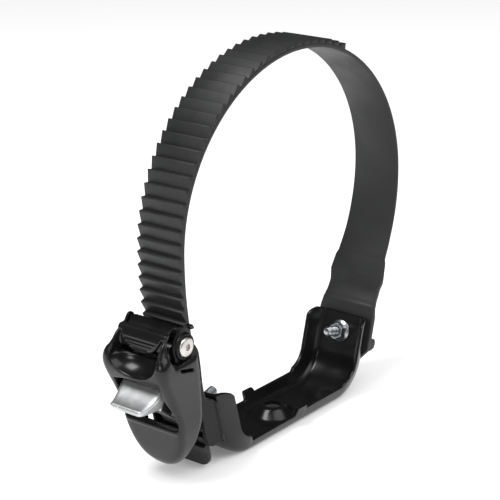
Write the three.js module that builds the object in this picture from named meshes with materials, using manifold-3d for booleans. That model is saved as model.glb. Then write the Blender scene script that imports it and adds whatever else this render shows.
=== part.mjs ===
// Ratchet strap hold-down: a stamped steel saddle, a moulded ladder strap bolted to one
// arm, and a ratchet buckle bolted to the other, through which the strap is drawn tight.
// Millimetres, +Z up. X runs from the buckle to the bolted end, Y is the strap's width.

import * as THREE from 'three';
import * as BufferGeometryUtils from 'three/addons/utils/BufferGeometryUtils.js';
import Module from 'manifold-3d';

const wasm = await Module();
wasm.setup();

// ---- driving dimensions ----

const gap = 0.3;                      // between pieces that touch

const sheet = 2.0;                    // saddle steel
const saddleFlat = 38;                // half length of the flat base
const saddleBend = 22;                // outside radius where the base turns up into an arm
const armLean = 15;                   // degrees outwards from upright
const armTop = 37.5;                  // height of the arm's top edge
const webHalf = 14.2;                 // half width across the flat of the channel
const flare = 22;                     // degrees the flanges open outwards
const baseFlange = [6.0, 7.8, 10.3];  // flange depth: buckle side, bolted side, tab
const armFlange = 10;
const bossBase = 11;
const bossTop = 6;
const bossHeight = 7.2;
const bossHole = 4;

const loopX = 3.9;                    // centre of the strap's loop from the saddle's middle
const loopZ = 112;
const loopA = 86.85;                  // half width of the loop, inside
const loopTop = 80;                   // centre to top, inside
const loopLeft = 128;                 // lower half, buckle side
const loopRight = 87;                 // lower half, bolted side
const strapHalf = 12.5;
const strapRoot = 2.3;                // thickness between teeth
const strapTip = 4.5;                 // thickness at a tooth's tip
const strapPlain = 2.0;               // thickness past the teeth
const strapEnd = 3.0;                 // thickness of the bolted end
const pitch = 6.1;
const tailZ = 1.8;                    // lowest point of the strap's free end
const buckleZ = 75;                   // the strap is straight below this height

const hinge = [-89.3, 72.2];          // lever's hinge, X and Z
const catchPin = [-86.5, 36.8];       // release lever's pin
const drivePin = [-90.8, 62.4];       // drive pawl's pin on the lever
const guide = [-89.8, 79.2];          // guide bar across the frame, outside the strap
const earIn = 14.6;                   // frame's ears
const earOut = 16.2;
const hubR = 6.3;                     // raised ring round each hinge screw's head
const hubOut = 17.5;
const armIn = 12.9;                   // lever's arms, inside the ears
const armOut = 14.3;
const leverHalf = 19.3;               // lever across its broad upper half
const leverLow = 18;                  // and across its skirts lower down
const leverWall = 1.5;
const sweep = 10.2;                   // the lever clears this radius about its hinge

const boltR = 2.4;                    // M5
const boltHoleR = 2.75;
const boltZ = 28;
const headR = 4.75;
const headH = 2.6;
const nutFlangeR = 5.9;
const nutAcross = 8;
const nutH = 5;

const tabReach = 112.2;               // furthest the release lever's tab stands out
const loopReach = loopX + loopA + strapPlain;
const toMiddle = (tabReach - loopReach) / 2;

const rad = Math.PI / 180;
const lean = armLean * rad;

// ---- materials ----

const finish = (color, roughness, metalness) =>
  new THREE.MeshStandardMaterial({ color, roughness, metalness });
const blackSteel = finish(0x0c0c0d, 0.28, 0.5);
const strapPlastic = finish(0x1b1b1d, 0.5, 0.0);
const leverPlastic = finish(0x121214, 0.3, 0.0);
const silver = finish(0xa9abad, 0.38, 0.7);
const zinc = finish(0xc9ccd0, 0.25, 1.0);
const springSteel = finish(0x8d9094, 0.35, 1.0);

// ---- solids ----

function solid(geometry) {
  const bare = geometry.index ? geometry.toNonIndexed() : geometry.clone();
  bare.deleteAttribute('normal');
  bare.deleteAttribute('uv');
  const merged = BufferGeometryUtils.mergeVertices(bare, 1e-4);
  return new wasm.Manifold(new wasm.Mesh({
    numProp: 3,
    vertProperties: new Float32Array(merged.attributes.position.array),
    triVerts: new Uint32Array(merged.index.array),
  }));
}

function node(name, body, material) {
  const cut = body.getMesh();
  const geometry = new THREE.BufferGeometry();
  geometry.setAttribute('position', new THREE.BufferAttribute(cut.vertProperties, 3));
  geometry.setIndex(new THREE.BufferAttribute(cut.triVerts, 1));
  geometry.computeVertexNormals();
  const mesh = new THREE.Mesh(geometry, material);
  mesh.name = name;
  return mesh;
}

// A side view in X and Z, given its thickness from y0 to y1.
function slab(points, y0, y1) {
  const outline = new THREE.Shape(points.map(([x, z]) => new THREE.Vector2(x, z)));
  const geometry = new THREE.ExtrudeGeometry(outline, { depth: y1 - y0, bevelEnabled: false });
  geometry.rotateX(Math.PI / 2);
  geometry.translate(0, y1, 0);
  return solid(geometry);
}

// A front view in Y and Z, given its thickness from x0 to x1.
function board(points, x0, x1) {
  const outline = new THREE.Shape(points.map(([y, z]) => new THREE.Vector2(y, z)));
  const geometry = new THREE.ExtrudeGeometry(outline, { depth: x1 - x0, bevelEnabled: false });
  geometry.rotateX(Math.PI / 2);
  geometry.rotateZ(Math.PI / 2);
  geometry.translate(x0, 0, 0);
  return solid(geometry);
}

// A rod along Y at the side-view point given.
function rod([x, z], radius, y0, y1, sides = 24) {
  const geometry = new THREE.CylinderGeometry(radius, radius, y1 - y0, sides);
  geometry.translate(x, (y0 + y1) / 2, z);
  return solid(geometry);
}

function bothSides(make) {
  return make(1).add(make(-1));
}

function between(side, inner, outer) {
  return side > 0 ? [inner, outer] : [-outer, -inner];
}

function arc([x, z], radius, from, to, steps) {
  const points = [];
  for (let i = 0; i <= steps; i += 1) {
    const angle = (from + (to - from) * i / steps) * rad;
    points.push([x + radius * Math.cos(angle), z + radius * Math.sin(angle)]);
  }
  return points;
}

// Joins rings of the same number of points into one closed body.
function loft(rings) {
  const count = rings[0].length;
  const positions = rings.flat(2);
  const index = [];
  for (let r = 0; r + 1 < rings.length; r += 1) {
    for (let i = 0; i < count; i += 1) {
      const a = r * count + i;
      const b = r * count + (i + 1) % count;
      index.push(a, b, a + count, b, b + count, a + count);
    }
  }
  const caps = [[0, true], [(rings.length - 1) * count, false]];
  for (const [start, flip] of caps) {
    const ring = rings[start / count];
    for (const [a, b, c] of capTriangles(ring)) {
      index.push(start + a, start + (flip ? c : b), start + (flip ? b : c));
    }
  }
  const geometry = new THREE.BufferGeometry();
  geometry.setAttribute('position', new THREE.Float32BufferAttribute(positions, 3));
  geometry.setIndex(index);
  return solid(geometry);
}

// The ring is flat, so it is triangulated in its own plane.
function capTriangles(ring) {
  const corners = ring.map((p) => new THREE.Vector3(...p));
  const normal = new THREE.Vector3();
  corners.forEach((p, i) => normal.add(p.clone().cross(corners[(i + 1) % corners.length])));
  const across = corners[1].clone().sub(corners[0]).normalize();
  const up = normal.normalize().clone().cross(across);
  const flat = corners.map((p) => new THREE.Vector2(p.dot(across), p.dot(up)));
  return THREE.ShapeUtils.triangulateShape(flat, []);
}

// ---- saddle ----

// Where the channel's outside face runs: [x, z, inward normal, flange depth].
function saddleStations() {
  const rise = (armTop - saddleBend * (1 - Math.sin(lean))) / Math.cos(lean);
  const armHeights = [0.06, 0.3, 0.6, 0.8, 0.9, 0.96, 1].map((t) => t * rise);
  const armDepths = [1, 1, 1, 1, 0.86, 0.62, 0.3].map((t) => t * armFlange);
  const half = (side) => {
    const base = side < 0 ? baseFlange[0] : baseFlange[1];
    const list = [];
    const turns = 7;
    for (let i = 0; i <= turns; i += 1) {
      const angle = (90 - armLean) * rad * i / turns;
      const depth = i === 0 ? base : armFlange * (0.92 + 0.08 * i / turns);
      list.push([side * (saddleFlat + saddleBend * Math.sin(angle)),
        saddleBend * (1 - Math.cos(angle)), [-side * Math.sin(angle), Math.cos(angle)], depth]);
    }
    const normal = [-side * Math.cos(lean), Math.sin(lean)];
    const [x0, z0] = list[turns];
    armHeights.forEach((h, i) => {
      list.push([x0 + side * h * Math.sin(lean), z0 + h * Math.cos(lean), normal, armDepths[i]]);
    });
    return list;
  };
  const up = [0, 1];
  const tab = [-2.5, 5];
  const middle = [
    [tab[0] - 0.6, 0, up, baseFlange[0]],
    [tab[0], 0, up, baseFlange[2]],
    [tab[1], 0, up, baseFlange[2]],
    [tab[1] + 0.6, 0, up, baseFlange[1]],
  ];
  return [...half(-1).reverse(), ...middle, ...half(1)];
}

// The channel's section: half widths across Y paired with distances in from the outside face.
function channelSection(depth) {
  const lip = Math.tan(flare * rad);
  const round = sheet * 1.3;
  const inner = webHalf - sheet;
  const half = [
    [webHalf - round, 0],
    [webHalf - round * 0.3, round * 0.3],
    [webHalf + lip * round, round],
    [webHalf + lip * depth, depth],
    [webHalf + lip * depth - sheet, depth],
    [inner + lip * (round + sheet), round + sheet],
    [inner - round * 0.4, sheet],
  ];
  const mirrored = half.map(([y, d]) => [-y, d]).reverse();
  return [...half, ...mirrored];
}

function saddle() {
  const rings = saddleStations().map(([x, z, [nx, nz], depth]) =>
    channelSection(Math.max(depth, sheet * 1.3 + sheet + 0.1))
      .map(([y, d]) => [x + nx * d, y, z + nz * d]));
  let body = loft(rings);
  const rim = bossHole / bossTop;
  const boss = [
    [bossBase, 0], [bossBase, sheet], [bossTop, bossHeight], [bossHole, bossHeight],
    [bossHole, bossHeight - sheet], [bossTop - rim, bossHeight - sheet],
    [bossBase - sheet, 0], [bossBase, 0],
  ].map(([r, z]) => new THREE.Vector2(r, z));
  const dome = new THREE.LatheGeometry(boss, 32);
  dome.rotateX(Math.PI / 2);
  const opening = new THREE.CylinderGeometry(bossBase - 0.6, bossBase - 0.6, 3 * sheet, 32);
  opening.rotateX(Math.PI / 2);
  body = body.subtract(solid(opening)).add(solid(dome));
  for (const side of [-1, 1]) {
    body = body.subtract(alongArm(side, new THREE.CylinderGeometry(boltHoleR, boltHoleR, 12, 24)));
  }
  return node('saddle', body, blackSteel);
}

// A point on an arm's outside face at the height given.
function armFace(side, z) {
  const bendZ = saddleBend * (1 - Math.sin(lean));
  const bendX = saddleFlat + saddleBend * Math.cos(lean);
  return [side * (bendX + (z - bendZ) * Math.tan(lean)), z];
}

// Turns a piece built along +Y so that +Y points into the loop, square to an arm, with its
// zero on the arm's outside face where the bolt passes through.
function alongArm(side, geometry) {
  const inward = new THREE.Vector3(-side * Math.cos(lean), 0, Math.sin(lean));
  const turn = new THREE.Quaternion().setFromUnitVectors(new THREE.Vector3(0, 1, 0), inward);
  geometry.applyQuaternion(turn);
  const [x, z] = armFace(side, boltZ);
  geometry.translate(x, 0, z);
  return solid(geometry);
}

// ---- strap ----

// The inside face of the strap from its free end, round the loop, to its bolted end.
function strapInside() {
  const points = [];
  const leftAt = (z) => {
    const u = (loopZ - z) / loopLeft;
    return [loopX - loopA * Math.sqrt(1 - u * u), z];
  };
  const join = (loopZ - buckleZ) / loopLeft;
  const slope = loopA / loopLeft * join / Math.sqrt(1 - join * join);
  const [joinX] = leftAt(buckleZ);
  const line = 24;
  for (let i = 0; i < line; i += 1) {
    const z = tailZ + (buckleZ - tailZ) * i / line;
    points.push([joinX + slope * (buckleZ - z), z]);
  }
  for (let i = 0; i < 16; i += 1) points.push(leftAt(buckleZ + (loopZ - buckleZ) * i / 16));
  for (let i = 0; i < 120; i += 1) {
    const angle = Math.PI * (1 - i / 120);
    points.push([loopX + loopA * Math.cos(angle), loopZ + loopTop * Math.sin(angle)]);
  }
  const leave = 68;
  for (let i = 0; i < 20; i += 1) {
    const u = (loopZ - leave) / loopRight * i / 20;
    points.push([loopX + loopA * Math.sqrt(1 - u * u), loopZ - loopRight * u]);
  }
  const u = (loopZ - leave) / loopRight;
  const start = [loopX + loopA * Math.sqrt(1 - u * u), leave];
  const outside = gap / Math.cos(lean);
  const land = armFace(1, armTop + 2.2);
  const turn = new THREE.SplineCurve([
    start, [start[0] - 2.7, 62], [start[0] - 5, 56], [start[0] - 7.5, 50], [start[0] - 10.8, 44.6],
    [land[0] + outside, land[1]],
  ].map(([x, z]) => new THREE.Vector2(x, z)));
  turn.getPoints(15).forEach((p) => points.push([p.x, p.y]));
  const last = armFace(1, strapEndZ);
  points.push([last[0] + outside, last[1]]);
  return points;
}

const strapEndZ = 14;

// Walks a side-view line by its length: at(s) gives the point and the outward normal.
function walk(points) {
  const lengths = [0];
  for (let i = 1; i < points.length; i += 1) {
    const [ax, az] = points[i - 1];
    const [bx, bz] = points[i];
    lengths.push(lengths[i - 1] + Math.hypot(bx - ax, bz - az));
  }
  const at = (s) => {
    let i = 1;
    while (i < points.length - 1 && lengths[i] < s) i += 1;
    const [ax, az] = points[i - 1];
    const [bx, bz] = points[i];
    const t = (s - lengths[i - 1]) / (lengths[i] - lengths[i - 1]);
    const run = Math.hypot(bx - ax, bz - az);
    return {
      x: ax + (bx - ax) * t, z: az + (bz - az) * t, nx: -(bz - az) / run, nz: (bx - ax) / run,
    };
  };
  return { at, length: lengths[lengths.length - 1] };
}

const route = walk(strapInside());
const tailRound = 5;
const teethStart = 7;
const teethCount = 45;
const teethEnd = teethStart + teethCount * pitch;

// Half width by height on the bolted side, where the strap broadens into a shield.
function strapWidth(s, z) {
  if (s < tailRound) return strapHalf - tailRound + Math.sqrt(s * (2 * tailRound - s));
  if (s < teethEnd) return strapHalf;
  const steps = [
    [175, strapHalf], [110, 13.4], [78, 14.0], [66.6, 14.6], [65, 15.4], [57, 16.6],
    [52, 15.2], [47, 15.4], [38, 17.0], [21, 17.1], [strapEndZ, 11],
  ];
  if (z > steps[0][0]) return strapHalf;
  const k = steps.findIndex(([height]) => z >= height - 1e-6);
  if (k <= 0) return k < 0 ? steps[steps.length - 1][1] : strapHalf;
  const [z0, w0] = steps[k - 1];
  const [z1, w1] = steps[k];
  return w0 + (w1 - w0) * (z0 - z) / (z0 - z1);
}

// Distances along the strap, each with its thickness: ramps that rise away from the free
// end and drop steeply, then the plain length, the thicker bolted end and its cross bar.
function strapProfile() {
  const drop = 0.7;
  const list = [[0, strapRoot], [2, strapRoot], [teethStart - 0.1, strapRoot]];
  for (let i = 0; i < teethCount; i += 1) {
    const s = teethStart + i * pitch;
    list.push([s, strapRoot], [s + pitch - drop, strapTip]);
  }
  list.push([teethEnd, strapPlain]);
  const total = route.length;
  const shield = total - 46;
  const steps = 22;
  for (let i = 1; i < steps; i += 1) {
    list.push([teethEnd + (shield - teethEnd) * i / steps, strapPlain]);
  }
  const bar = total - 13.6;
  list.push([shield, strapPlain], [shield + 2, strapEnd], [total - 43.5, strapEnd],
    [total - 41, strapEnd], [total - 38, strapEnd], [total - 34, strapEnd], [total - 28, strapEnd],
    [bar - 0.4, strapEnd], [bar, strapEnd + 3.6], [bar + 1.4, strapEnd + 4.6],
    [bar + 5.4, strapEnd + 4.2], [bar + 7, strapEnd + 0.8], [bar + 7.3, strapEnd],
    [total, strapEnd]);
  return list;
}

function strap() {
  const rings = strapProfile().map(([s, thickness]) => {
    const { x, z, nx, nz } = route.at(s);
    const half = strapWidth(s, z);
    const outer = [x + nx * thickness, z + nz * thickness];
    return [[x, -half, z], [x, half, z], [outer[0], half, outer[1]], [outer[0], -half, outer[1]]];
  });
  const hole = new THREE.CylinderGeometry(boltHoleR, boltHoleR, 14, 24);
  const recess = new THREE.CylinderGeometry(6.4, 6.4, 10, 24);
  recess.translate(0, -strapEnd - gap - 5, 0);
  const body = loft(rings).subtract(alongArm(1, hole)).subtract(alongArm(1, recess));
  return node('strap', body, strapPlastic);
}

// ---- bolts and nuts ----

function boltSet(name, side, behind) {
  const tip = 15.5;
  const start = -behind - gap;
  const profile = [
    [0, start - headH], [headR * 0.55, start - headH], [headR * 0.9, start - headH * 0.6],
    [headR, start - 0.3], [headR, start], [boltR, start], [boltR, tip - 0.8],
    [boltR - 0.7, tip], [0, tip],
  ].map(([r, y]) => new THREE.Vector2(r, y));
  const bolt = alongArm(side, new THREE.LatheGeometry(profile, 24));
  const seat = sheet + gap;
  const flangeH = 1.2;
  const flange = new THREE.CylinderGeometry(nutAcross * 0.62, nutFlangeR, flangeH, 24);
  flange.translate(0, seat + flangeH / 2, 0);
  const hexR = nutAcross / 2 / Math.cos(30 * rad);
  const hex = new THREE.CylinderGeometry(hexR, hexR, nutH, 6);
  hex.translate(0, seat + nutH / 2, 0);
  const bore = new THREE.CylinderGeometry(boltR + gap, boltR + gap, 3 * nutH, 24);
  const nut = alongArm(side, flange).add(alongArm(side, hex)).subtract(alongArm(side, bore));
  return [node(`${name}_bolt`, bolt, zinc), node(`${name}_nut`, nut, zinc)];
}

function washer(name, side, behind) {
  const outer = new THREE.CylinderGeometry(5, 5, 1, 24);
  const inner = new THREE.CylinderGeometry(boltHoleR, boltHoleR, 3, 24);
  const away = -behind - gap - 0.5;
  outer.translate(0, away, 0);
  inner.translate(0, away, 0);
  return node(name, alongArm(side, outer).subtract(alongArm(side, inner)), zinc);
}

// ---- buckle frame ----

const plateThick = 1.8;

// A stamped channel: its back plate is bolted flat to the saddle's arm, and its ears reach
// out past both edges of the strap to carry the hinge, the bars and the release lever.
function buckleFrame() {
  const foot = armFace(-1, 13.5);
  const head = armFace(-1, 36);
  const off = gap / Math.cos(lean);
  const plate = slab([
    [foot[0] - off, foot[1]], [head[0] - off, head[1]],
    [head[0] - off - plateThick, head[1]], [foot[0] - off - plateThick, foot[1]],
  ], -earOut, earOut);
  const outline = [
    [foot[0] - off, foot[1]], [head[0] - off, head[1]], [-69.5, 39.4], [-73.2, 40.4],
    [-75.2, 46], [-77.6, 64.5], [-79.4, 68.6], [-82.4, 71.8],
    ...arc(guide, 2.7, 15, 165, 6),
    ...arc(hinge, 7.2, 150, 215, 5),
    [-93.4, 52], ...arc(catchPin, 4.2, 180, 275, 5), [-79, 33],
    [-76.2, 30.4], [-75.4, 26], [-73.8, 19], [-71.4, 14.2],
  ];
  const ears = bothSides((side) => slab(outline, ...between(side, earIn, earOut)));
  const hubs = bothSides((side) => rod(hinge, hubR, ...between(side, earOut - 0.5, hubOut)));
  const seats = bothSides((side) => rod(hinge, headR + gap, ...between(side, earOut, hubOut + 1)));
  let body = plate.add(ears).add(hubs).subtract(seats);
  for (const [pin, radius] of [[hinge, boltHoleR], [catchPin, 1.9], [guide, 1.3]]) {
    body = body.subtract(rod(pin, radius, -30, 30));
  }
  body = body.subtract(alongArm(-1, new THREE.CylinderGeometry(boltHoleR, boltHoleR, 14, 24)));
  return node('buckle_frame', body, blackSteel);
}

// The bar that keeps the strap in, necked where it passes through the ears, with a curved
// guard that covers the hinge and passes between the lever's arms.
function guideBar() {
  const neck = rod(guide, 1, -earOut, earOut);
  const guard = slab([...arc(hinge, 8.7, 84, 150, 8), ...arc(hinge, 7.4, 150, 84, 8)],
    -armIn + gap, armIn - gap);
  const body = neck.add(rod(guide, 1.8, -earIn + gap, earIn - gap)).add(guard);
  return node('guide_bar', body, blackSteel);
}

function pins() {
  const tube = rod(hinge, 3.4, -earIn + gap, earIn - gap)
    .subtract(rod(hinge, 2.7, -30, 30));
  const screws = [-1, 1].map((side) => {
    const under = earOut + gap;
    const shank = rod(hinge, boltR, ...between(side, 8, under + 0.5));
    const head = rod(hinge, headR, ...between(side, under, under + headH * 0.55), 32);
    const crown = new THREE.CylinderGeometry(headR * 0.72, headR, headH * 0.45, 32);
    if (side < 0) crown.rotateX(Math.PI);
    crown.translate(hinge[0], side * (under + headH * 0.775), hinge[1]);
    const socket = rod(hinge, 1.7, ...between(side, under + headH - 1.5, under + headH + 1), 6);
    const body = shank.add(head).add(solid(crown)).subtract(socket);
    return node(side < 0 ? 'hinge_screw_near' : 'hinge_screw_far', body, zinc);
  });
  return [
    node('hinge_tube', tube, zinc), ...screws,
    guideBar(),
    node('release_pin', rod(catchPin, 1.6, -earOut, earOut), zinc),
    node('drive_pawl_pin', rod(drivePin, 1.5, -armOut, armOut), zinc),
  ];
}

// ---- lever ----

// The lever from the front, in Y and Z: broad at the hinge, rounding in to its lower tip.
function leverFront(inset) {
  const side = [
    [11.5, 80.5], [14.5, 79.4], [16, 76], [16.4, 71.6], [18.6, 68.4], [leverHalf, 65],
    [leverHalf, 61], [leverLow + 0.5, 52], [leverLow, 42], [leverLow, 31.4], [17.4, 26.5],
    [15.8, 20.5], [13.6, 15.6], [11, 11.8], [7.4, 8.7], [2, 6.6],
  ].map(([y, z]) => [y - inset * Math.min(1, y / 6), z + inset * Math.max(0, (24 - z) / 16)]);
  const other = side.map(([y, z]) => [-y, z]).reverse();
  return [...side, ...other];
}

// The lever from the side, in X and Z: crest, bulge, window, lower lip, and its rear edge.
const leverSide = [
  [-96.8, 79.6], [-99.5, 77.5], [-103.5, 73.6], [-106.4, 69], [-107.4, 64], [-106, 58],
  [-103.6, 52.5], [-99.6, 45], [-94.4, 35], [-92.6, 30.5], [-90.6, 23], [-88.8, 14.5],
  [-86.8, 8.8], [-85, 6.6], [-81.8, 8], [-79.8, 14], [-77.8, 22], [-76.8, 28], [-76, 34],
  [-76.2, 41], [-77.3, 50], [-79, 58], [-80.4, 63], [-81.2, 67.2], [-88, 66], [-97.6, 66.4],
  [-100.6, 71.5],
  [-98, 77],
];

const leverCavity = [
  [-97, 70], [-101.6, 66], [-102.4, 60], [-101.2, 55], [-99, 49.5], [-96.4, 43.5], [-92.2, 34.6],
  [-90.6, 29.6], [-88.6, 22.4], [-86.8, 14.8], [-85, 9.4], [-70, 6], [-70, 72],
];

function lever() {
  const front = board(leverFront(0), -120, -60);
  const hollow = board(leverFront(leverWall), -120, -60);
  let body = slab(leverSide, -leverHalf, leverHalf).intersect(front);
  body = body.subtract(slab(leverCavity, -30, 30).intersect(hollow));
  body = body.subtract(rod(hinge, sweep, -leverHalf + leverWall, leverHalf - leverWall, 48));
  const bowl = new THREE.SphereGeometry(1, 32, 20);
  bowl.scale(7.5, 12.8, 7);
  bowl.translate(-109.5, 0, 64.5);
  body = body.subtract(solid(bowl));
  const windowHalf = 13.6;
  body = body.subtract(board([
    [-windowHalf, 34.6], [windowHalf, 34.6], [windowHalf, 55.2], [-windowHalf, 55.2],
  ], -120, -92));
  const armShape = [
    ...arc(hinge, 4.9, -75, 175, 12), [-98.6, 71], [-100.5, 71.5], [-103.4, 66],
    [-101.8, 58.2], [-88, 58.2],
  ];
  const arms = bothSides((side) => slab(armShape, ...between(side, armIn, armOut)));
  const holes = rod(hinge, 3.7, -30, 30).add(rod(drivePin, 1.8, -16, 16));
  body = body.add(arms).subtract(holes);
  return node('lever', body, leverPlastic);
}

// ---- pawls ----

// Thumb tab, hinge barrel and locking toe in one: pressing the tab down lifts the toe out.
function releaseLever() {
  const barrelHalf = 12.3;
  const tab = slab([
    [-98.6, 53.6], [-101, 54], [-102.6, 51.8], [-105, 48.8], [-108.4, 46.4], [-tabReach, 45],
    [-111.6, 43.2], [-108.5, 41.8], [-104, 41], [-97.2, 40.6], [-94.6, 43.6], [-95.4, 48.5],
  ], -barrelHalf, barrelHalf).intersect(board([
    [10.5, 54], [12, 52.5], [barrelHalf, 50], [11.9, 48.2], [10.8, 46.2], [9.6, 44.4], [8, 40],
    [-8, 40], [-9.6, 44.4], [-10.8, 46.2], [-11.9, 48.2], [-barrelHalf, 50], [-12, 52.5],
    [-10.5, 54],
  ], -120, -90));
  const link = slab([
    [-97.2, 40.6], [-90, 35.2], [-85, 34], [-83.4, 38.5], [-90, 42.4], [-95, 46],
  ], -9, 9);
  const barrel = rod(catchPin, 3.4, -barrelHalf, barrelHalf);
  const toe = slab([
    [-89, 39.2], [-85.6, 33.6], [-82.8, 36], [-78.2, 42.4], [-77.6, 43.2], [-78.3, 44.2],
    [-80.6, 43.8],
  ], -11.5, 11.5);
  const body = tab.add(link).add(barrel).add(toe).subtract(rod(catchPin, 1.9, -30, 30));
  return node('release_lever', body, silver);
}

function drivePawl() {
  const barrel = rod(drivePin, 2.8, -11.4, 11.4);
  const toe = slab([
    [-92, 59.9], [-89, 58.4], [-83, 58.6], [-81.9, 59.4], [-82.4, 60.6], [-88.6, 64],
  ], -11.4, 11.4);
  const body = barrel.add(toe).subtract(rod(drivePin, 1.8, -30, 30));
  return node('drive_pawl', body, springSteel);
}

// A torsion spring's coil, as the sleeve that its turns fill.
function coil(name, pin, inner, outer, y0, y1) {
  const body = rod(pin, outer, y0, y1).subtract(rod(pin, inner, -30, 30));
  return node(name, body, springSteel);
}

// ---- assembly ----

const assembly = new THREE.Group();
assembly.name = 'ratchet_strap_hold_down';
const strapWasher = 1 + gap;
assembly.add(
  saddle(),
  strap(),
  ...boltSet('strap', 1, strapEnd + gap + strapWasher),
  washer('strap_washer', 1, strapEnd + gap),
  ...boltSet('buckle', -1, plateThick + gap),
  buckleFrame(),
  ...pins(),
  lever(),
  releaseLever(),
  drivePawl(),
  coil('release_spring', catchPin, 2.1, 3.2, 12.7, 14.2),
  coil('drive_pawl_spring', drivePin, 2.0, 2.7, -12.6, -11.7),
);
assembly.position.x = toMiddle;

export default assembly;
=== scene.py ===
"""Ratchet strap hold-down: a moulded ladder strap bolted to a stamped steel saddle, and the
ratchet buckle that draws it tight. Lengths are in millimetres until a mesh is made."""

import math

import bmesh
import bpy
import numpy as np
from mathutils import Matrix, Vector


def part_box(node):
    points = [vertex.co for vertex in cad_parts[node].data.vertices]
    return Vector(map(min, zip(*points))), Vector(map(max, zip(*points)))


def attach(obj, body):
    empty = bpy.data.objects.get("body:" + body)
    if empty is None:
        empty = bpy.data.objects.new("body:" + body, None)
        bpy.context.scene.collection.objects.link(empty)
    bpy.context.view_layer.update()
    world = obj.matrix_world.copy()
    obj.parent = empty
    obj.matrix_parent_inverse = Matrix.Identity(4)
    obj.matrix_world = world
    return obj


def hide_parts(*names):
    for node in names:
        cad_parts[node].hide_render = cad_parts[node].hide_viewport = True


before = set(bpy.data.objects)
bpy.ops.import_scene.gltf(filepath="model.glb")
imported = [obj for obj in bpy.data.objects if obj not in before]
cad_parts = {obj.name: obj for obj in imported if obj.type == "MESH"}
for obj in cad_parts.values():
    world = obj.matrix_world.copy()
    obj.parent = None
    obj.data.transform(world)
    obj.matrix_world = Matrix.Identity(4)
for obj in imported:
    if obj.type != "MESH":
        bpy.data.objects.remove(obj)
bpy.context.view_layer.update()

# ---- camera ----
# Looks down the clamp's buckle end from the front, a little above it, with a long lens.

MM = 0.001
saddle_low, saddle_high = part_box("saddle")
middle = (saddle_low.x + saddle_high.x) / 2 / MM


def place(x, y, z):
    """A point given from the saddle's middle, as metres in the model's frame."""
    return Vector(((x + middle) * MM, y * MM, z * MM))


heading, dip = math.radians(52.38), math.radians(18.98)
looking = Vector((math.sin(heading) * math.cos(dip), math.cos(heading) * math.cos(dip), -math.sin(dip)))
lens = bpy.data.cameras.new("product_camera")
lens.lens = 117.9
lens.sensor_width = 36
camera = bpy.data.objects.new("product_camera", lens)
camera.location = place(-614.8, -459.2, 354.4)
camera.rotation_euler = looking.to_track_quat("-Z", "Y").to_euler()
bpy.context.scene.collection.objects.link(camera)
bpy.context.scene.camera = camera

# ---- moulded strap ----
# A ladder strap injection moulded in black nylon, satin all over. Its teeth are moulded
# across its outside face, and its thicker end is bolted to the saddle's far arm.

strap_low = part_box("strap")[0]
strap_half = 12.5
root_thick, tip_thick, plain_thick, end_thick = 2.3, 4.5, 2.0, 3.0
tooth_pitch, tooth_count, tooth_start = 6.1, 45, 7.0
loop_x, loop_z = 3.9, 112.0
loop_wide, loop_tall = 86.85, 80.0
loop_low_buckle, loop_low_bolted = 128.0, 87.0
strap_tail = strap_low.z / MM + 0.46
strap_foot = 14.0
bolt_z = 28.0
bolt_bore = 2.75
arm_lean = math.radians(15)
arm_x = 38 + 22 * math.cos(arm_lean)
arm_z = 22 * (1 - math.sin(arm_lean))
seat_gap = 0.3 / math.cos(arm_lean)


def arm_face(side, z):
    """X of an arm's outside face at that height."""
    return side * (arm_x + (z - arm_z) * math.tan(arm_lean))


def strap_line():
    """The strap's inside face in X and Z, from its free end round to its bolted end."""
    straight_from = 75.0
    across = (loop_z - straight_from) / loop_low_buckle
    join_x = loop_x - loop_wide * math.sqrt(1 - across**2)
    slope = loop_wide / loop_low_buckle * across / math.sqrt(1 - across**2)
    line = [(join_x + slope * (straight_from - z), z)
            for z in np.linspace(strap_tail, straight_from, 36)[:-1]]
    for z in np.linspace(straight_from, loop_z, 20)[:-1]:
        drop = (loop_z - z) / loop_low_buckle
        line.append((loop_x - loop_wide * math.sqrt(1 - drop**2), z))
    for angle in np.linspace(math.pi, 0, 180):
        line.append((loop_x + loop_wide * math.cos(angle), loop_z + loop_tall * math.sin(angle)))
    for drop in np.linspace(0, (loop_z - 68) / loop_low_bolted, 26)[1:]:
        line.append((loop_x + loop_wide * math.sqrt(1 - drop**2), loop_z - loop_low_bolted * drop))
    x, z = line[-1]
    land = arm_face(1, 39.7) + seat_gap
    knots = [(x + 0.1, z), (x - 2.7, 62), (x - 5, 56), (x - 7.5, 50), (x - 10.8, 44.6), (land, 39.7),
             (arm_face(1, strap_foot) + seat_gap, strap_foot)]
    before = [line[-2]] + knots[:-1]
    after = knots[1:] + [knots[-1]]
    for i in range(len(knots) - 2):
        p0, p1, p2, p3 = before[i], knots[i], after[i], after[i + 1]
        for t in np.linspace(0, 1, 7)[1:]:
            line.append(tuple(
                0.5 * (2 * b + (c - a) * t + (2 * a - 5 * b + 4 * c - d) * t * t
                       + (3 * b - a - 3 * c + d) * t**3)
                for a, b, c, d in zip(p0, p1, p2, p3)))
    foot_from = line[-1]
    for t in np.linspace(0, 1, 20)[1:]:
        line.append(tuple(a + (b - a) * t for a, b in zip(foot_from, knots[-1])))
    return np.array(line)


route = strap_line()
along = np.concatenate([[0], np.cumsum(np.hypot(*np.diff(route, axis=0).T))])
route_length = along[-1]


def on_route(s):
    """The inside face's point at that length along the strap, and its outward normal."""
    x, z = np.interp(s, along, route[:, 0]), np.interp(s, along, route[:, 1])
    ahead, behind = min(s + 0.8, route_length), max(s - 0.8, 0)
    dx = np.interp(ahead, along, route[:, 0]) - np.interp(behind, along, route[:, 0])
    dz = np.interp(ahead, along, route[:, 1]) - np.interp(behind, along, route[:, 1])
    run = math.hypot(dx, dz)
    return x, z, -dz / run, dx / run


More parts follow.
